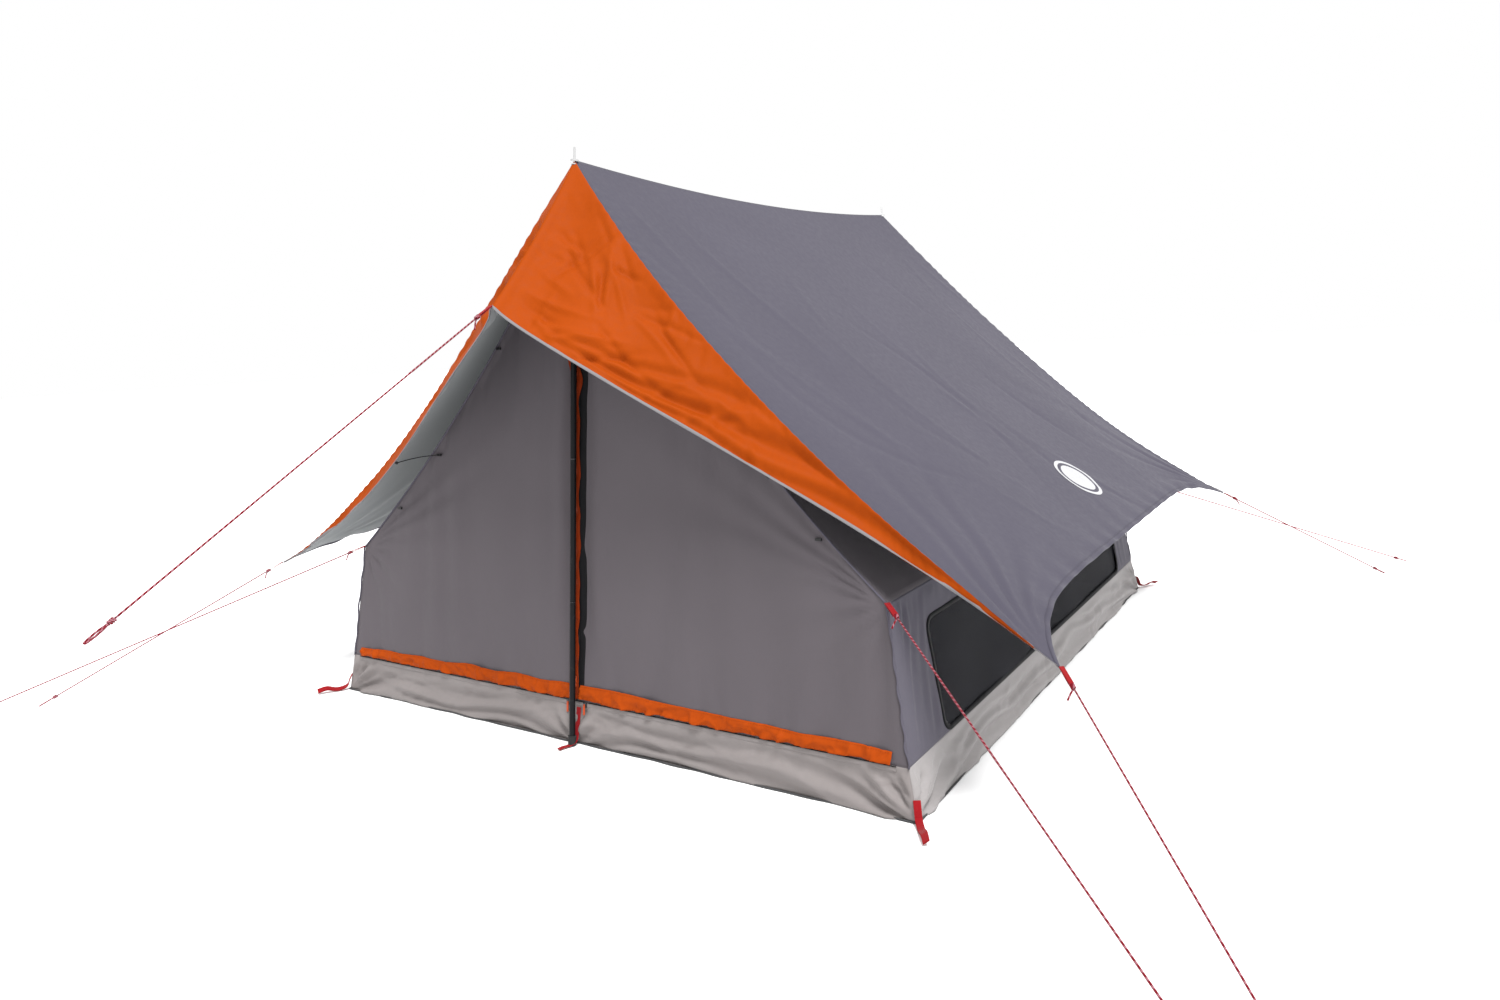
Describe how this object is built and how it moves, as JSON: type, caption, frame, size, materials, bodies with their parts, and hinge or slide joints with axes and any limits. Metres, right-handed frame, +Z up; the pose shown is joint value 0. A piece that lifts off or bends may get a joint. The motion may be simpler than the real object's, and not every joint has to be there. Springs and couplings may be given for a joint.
{
  "type": "frame tent",
  "caption": "Ridge tent with an inner room, a zipped double-leaf front door, two leaning upright poles and a flysheet with a beak at each end, held by guy lines",
  "frame": {"origin": "middle of the groundsheet, on the ground", "axes": "+X across the tent to the right as seen facing the door, +Y along the ridge from the door to the rear, +Z up"},
  "size_m": [3.8126, 4.481, 1.5828],
  "materials": {
    "fly_grey": "matte",
    "fly_orange": "matte",
    "inner_grey": "matte",
    "tub_grey": "matte",
    "mesh_black": "matte",
    "zip_orange": "matte",
    "zip_black": "matte",
    "webbing_red": "matte",
    "webbing_black": "matte",
    "rope_red": "matte",
    "pull_orange": "satin",
    "slider_metal": "satin",
    "spike_steel": "satin",
    "ferrule_alloy": "satin",
    "pole_black": "satin",
    "foot_rubber": "matte",
    "toggle_black": "satin",
    "elastic_black": "matte",
    "badge_white": "matte"
  },
  "bodies": {
    "tent": {"groundsheet": "tub_grey", "tub_wall_front": "tub_grey", "tub_wall_rear": "tub_grey", "tub_wall_left": "tub_grey", "tub_wall_right": "tub_grey", "side_wall_left": "inner_grey", "side_wall_right": "inner_grey", "window_mesh_left": "mesh_black", "window_mesh_right": "mesh_black", "front_panel_left": "inner_grey", "front_panel_right": "inner_grey", "inner_roof_left": "inner_grey", "inner_roof_right": "inner_grey", "rear_wall": "inner_grey", "tub_zip_tape": "zip_black", "front_pole_sections": "pole_black", "rear_pole_sections": "pole_black", "pole_ferrules": "ferrule_alloy", "pole_feet": "foot_rubber", "pole_spikes": "spike_steel", "peak_rings": "webbing_black", "fly_main_left": "fly_grey", "fly_main_right": "fly_grey", "fly_front_left": "fly_orange", "fly_front_right": "fly_orange", "fly_rear_left": "fly_orange", "fly_rear_right": "fly_orange", "fly_grommets": "spike_steel", "fly_badge": "badge_white", "corner_peg_loops": "webbing_red", "pole_straps": "webbing_red", "fly_tabs": "webbing_red", "shoulder_tabs": "webbing_red", "guy_knots": "rope_red", "guy_eyes": "rope_red", "elastic_toggles": "toggle_black", "fly_elastic_left": "elastic_black", "fly_elastic_right": "elastic_black", "guy_beak_front": "rope_red", "guy_beak_rear": "rope_red", "guy_corner_front_left": "rope_red", "guy_shoulder_front_left": "rope_red", "guy_corner_front_right": "rope_red", "guy_shoulder_front_right": "rope_red", "guy_corner_rear_left": "rope_red", "guy_shoulder_rear_left": "rope_red", "guy_corner_rear_right": "rope_red", "guy_shoulder_rear_right": "rope_red"},
    "door_left": {"door_leaf_left": "inner_grey", "door_hem_flap_left": "zip_orange", "door_zip_flap": "zip_orange"},
    "door_right": {"door_leaf_right": "inner_grey", "door_hem_flap_right": "zip_orange", "door_zip_tape": "zip_black"},
    "slider_door": {"zip_slider_door": "slider_metal"},
    "slider_left": {"zip_slider_left": "slider_metal"},
    "slider_right": {"zip_slider_right": "slider_metal"},
    "pull_door": {"zip_pull_door": "pull_orange"},
    "pull_left": {"zip_pull_left": "pull_orange"},
    "pull_right": {"zip_pull_right": "pull_orange"}
  },
  "joints": [
    {"name": "door_left_fold", "type": "hinge", "parent": "tent", "child": "door_left", "pos_m": [0, -0.9388, 1.32991], "axis": [0.6118, 0.0947, 0.7853], "range_deg": [0, 90]},
    {"name": "door_right_fold", "type": "hinge", "parent": "tent", "child": "door_right", "pos_m": [0, -0.9388, 1.32991], "axis": [0.6118, -0.0947, -0.7853], "range_deg": [0, 90]},
    {"name": "zip_door", "type": "slide", "parent": "tent", "child": "slider_door", "axis": [0, 0.1198, 0.9928], "range_m": [0, 1.0969]},
    {"name": "zip_left", "type": "slide", "parent": "tent", "child": "slider_left", "axis": [-1, 0, 0], "range_m": [0, 0.9]},
    {"name": "zip_right", "type": "slide", "parent": "tent", "child": "slider_right", "axis": [1, 0, 0], "range_m": [0, 0.9]},
    {"name": "pull_door_swing", "type": "hinge", "parent": "slider_door", "child": "pull_door", "pos_m": [0, -1.08499, 0.18284], "axis": [0, -0.9928, 0.1198], "range_deg": [-80, 80]},
    {"name": "pull_left_swing", "type": "hinge", "parent": "slider_left", "child": "pull_left", "pos_m": [-0.03, -1.0933, 0.10978], "axis": [0, -0.9928, 0.1198], "range_deg": [-80, 80]},
    {"name": "pull_right_swing", "type": "hinge", "parent": "slider_right", "child": "pull_right", "pos_m": [0.03, -1.0933, 0.10978], "axis": [0, -0.9928, 0.1198], "range_deg": [-80, 80]}
  ]
}
